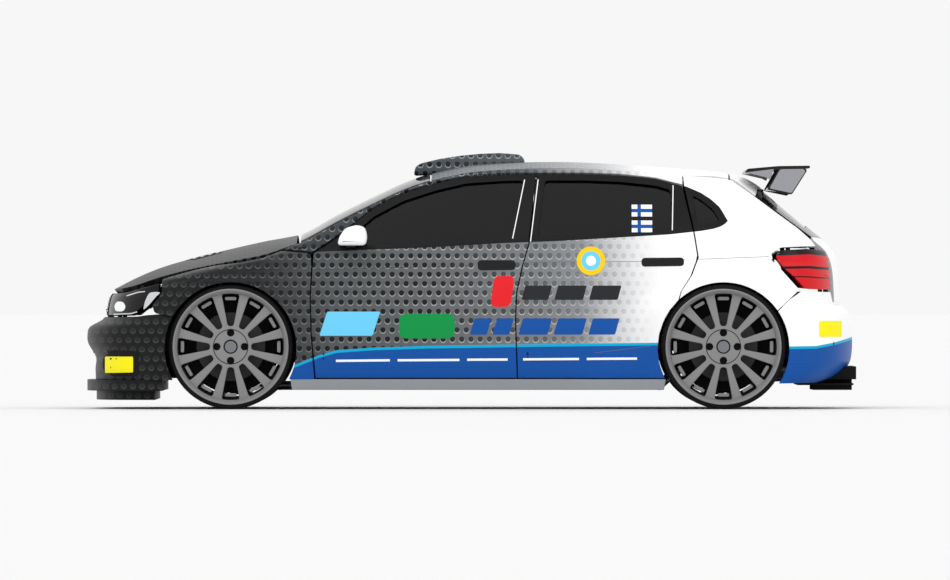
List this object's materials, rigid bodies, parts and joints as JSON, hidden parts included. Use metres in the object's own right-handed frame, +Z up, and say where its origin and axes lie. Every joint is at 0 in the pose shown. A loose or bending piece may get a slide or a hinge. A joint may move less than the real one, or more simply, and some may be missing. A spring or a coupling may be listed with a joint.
{
  "type": "rally car",
  "caption": "Five-door rally hatchback with flared arches, roof scoop, rear wing and front splitter; doors, bonnet and tailgate open, front wheels steer, all wheels roll.",
  "frame": {"origin": "on the ground, at the bottom centre of the bounding box", "axes": "-X forward, +Y to the right-hand side of the car, +Z up"},
  "size_m": [4.01, 1.8866, 1.333],
  "materials": {
    "paint_white": "gloss, graded from graphite at the nose to white at the tail",
    "paint_dark": "gloss",
    "blue_black": "satin",
    "trim_black": "matt",
    "sill_grey": "satin",
    "wing_grey": "satin",
    "glass": "dark tint",
    "lamp": "clear over chrome",
    "lamp_red": "gloss",
    "rubber": "matt",
    "rim": "painted satin grey",
    "steel": "bare",
    "chassis": "satin",
    "engine": "plain",
    "seat": "woven",
    "dash": "matt"
  },
  "bodies": {
    "body": {"floor_pan": "chassis", "firewall": "chassis", "lid_hinges": "steel", "door_posts": "chassis", "roof_rails": "paint_white", "side_skirts": "sill_grey", "roof_panel": "paint_white", "windshield": "glass", "front_fenders": "paint_white", "front_bumper": "paint_dark", "grille": "trim_black", "headlights": "lamp", "front_splitter": "trim_black", "rear_quarters": "paint_white", "quarter_glasses": "glass", "rear_bumper": "paint_white", "taillights": "lamp_red", "rear_diffuser": "trim_black", "roof_scoop": "paint_white", "arch_liners": "trim_black", "front_suspension": "steel", "rear_suspension": "steel", "driveline": "steel", "brackets": "steel", "engine_block": "engine", "exhaust": "steel", "roll_cage": "steel", "seats": "seat", "dashboard": "dash", "steering_rack": "steel"},
    "front_door_left": {"front_door_left": "paint_white", "front_door_glass_left": "glass", "mirror_left": "paint_white"},
    "front_door_right": {"front_door_right": "paint_white", "front_door_glass_right": "glass", "mirror_right": "paint_white"},
    "rear_door_left": {"rear_door_left": "paint_white", "rear_door_glass_left": "glass"},
    "rear_door_right": {"rear_door_right": "paint_white", "rear_door_glass_right": "glass"},
    "bonnet": {"bonnet": "paint_dark"},
    "tailgate": {"tailgate": "blue_black", "tailgate_glass": "glass", "rear_wing": "wing_grey"},
    "steering_wheel": {"steering_wheel": "dash"},
    "knuckle_left": {"knuckle_left": "steel"},
    "knuckle_right": {"knuckle_right": "steel"},
    "wheel_front_left": {"tyre_front_left": "rubber", "rim_front_left": "rim"},
    "wheel_front_right": {"tyre_front_right": "rubber", "rim_front_right": "rim"},
    "wheel_rear_left": {"tyre_rear_left": "rubber", "rim_rear_left": "rim"},
    "wheel_rear_right": {"tyre_rear_right": "rubber", "rim_rear_right": "rim"}
  },
  "joints": [
    {"name": "front_door_left_hinge", "type": "hinge", "parent": "body", "child": "front_door_left", "pos_m": [-0.767, -0.84459, 0.47], "axis": [0, -0.0523, -0.9986], "range_deg": [0, 65]},
    {"name": "front_door_right_hinge", "type": "hinge", "parent": "body", "child": "front_door_right", "pos_m": [-0.767, 0.84459, 0.47], "axis": [0, -0.0523, 0.9986], "range_deg": [0, 65]},
    {"name": "rear_door_left_hinge", "type": "hinge", "parent": "body", "child": "rear_door_left", "pos_m": [0.293, -0.833, 0.47], "axis": [0, -0.0523, -0.9986], "range_deg": [0, 65]},
    {"name": "rear_door_right_hinge", "type": "hinge", "parent": "body", "child": "rear_door_right", "pos_m": [0.293, 0.833, 0.47], "axis": [0, -0.0523, 0.9986], "range_deg": [0, 65]},
    {"name": "bonnet_hinge", "type": "hinge", "parent": "body", "child": "bonnet", "pos_m": [-0.945, 0, 0.87987], "axis": [0, 1, 0], "range_deg": [0, 55]},
    {"name": "tailgate_hinge", "type": "hinge", "parent": "body", "child": "tailgate", "pos_m": [1.39, 0, 1.19781], "axis": [0, -1, 0], "range_deg": [0, 70]},
    {"name": "steering_left", "type": "hinge", "parent": "body", "child": "knuckle_left", "pos_m": [-1.245, -0.7155, 0.323], "axis": [0, 0, 1], "range_deg": [-30, 30]},
    {"name": "steering_right", "type": "hinge", "parent": "body", "child": "knuckle_right", "pos_m": [-1.245, 0.7155, 0.323], "axis": [0, 0, 1], "range_deg": [-30, 30]},
    {"name": "steering_wheel_turn", "type": "hinge", "parent": "body", "child": "steering_wheel", "pos_m": [-0.395, -0.34, 0.73], "axis": [0.9272, 0, 0.3746], "range_deg": [-360, 360]},
    {"name": "wheel_front_left_spin", "type": "hinge", "parent": "knuckle_left", "child": "wheel_front_left", "pos_m": [-1.245, -0.7795, 0.323], "axis": [0, 1, 0], "continuous": true},
    {"name": "wheel_front_right_spin", "type": "hinge", "parent": "knuckle_right", "child": "wheel_front_right", "pos_m": [-1.245, 0.7795, 0.323], "axis": [0, 1, 0], "continuous": true},
    {"name": "wheel_rear_left_spin", "type": "hinge", "parent": "body", "child": "wheel_rear_left", "pos_m": [1.308, -0.7795, 0.323], "axis": [0, 1, 0], "continuous": true},
    {"name": "wheel_rear_right_spin", "type": "hinge", "parent": "body", "child": "wheel_rear_right", "pos_m": [1.308, 0.7795, 0.323], "axis": [0, 1, 0], "continuous": true}
  ],
  "couplings": [
    {"joint": "steering_right", "follows": "steering_left", "ratio": 1},
    {"joint": "steering_wheel_turn", "follows": "steering_left", "ratio": 12}
  ]
}
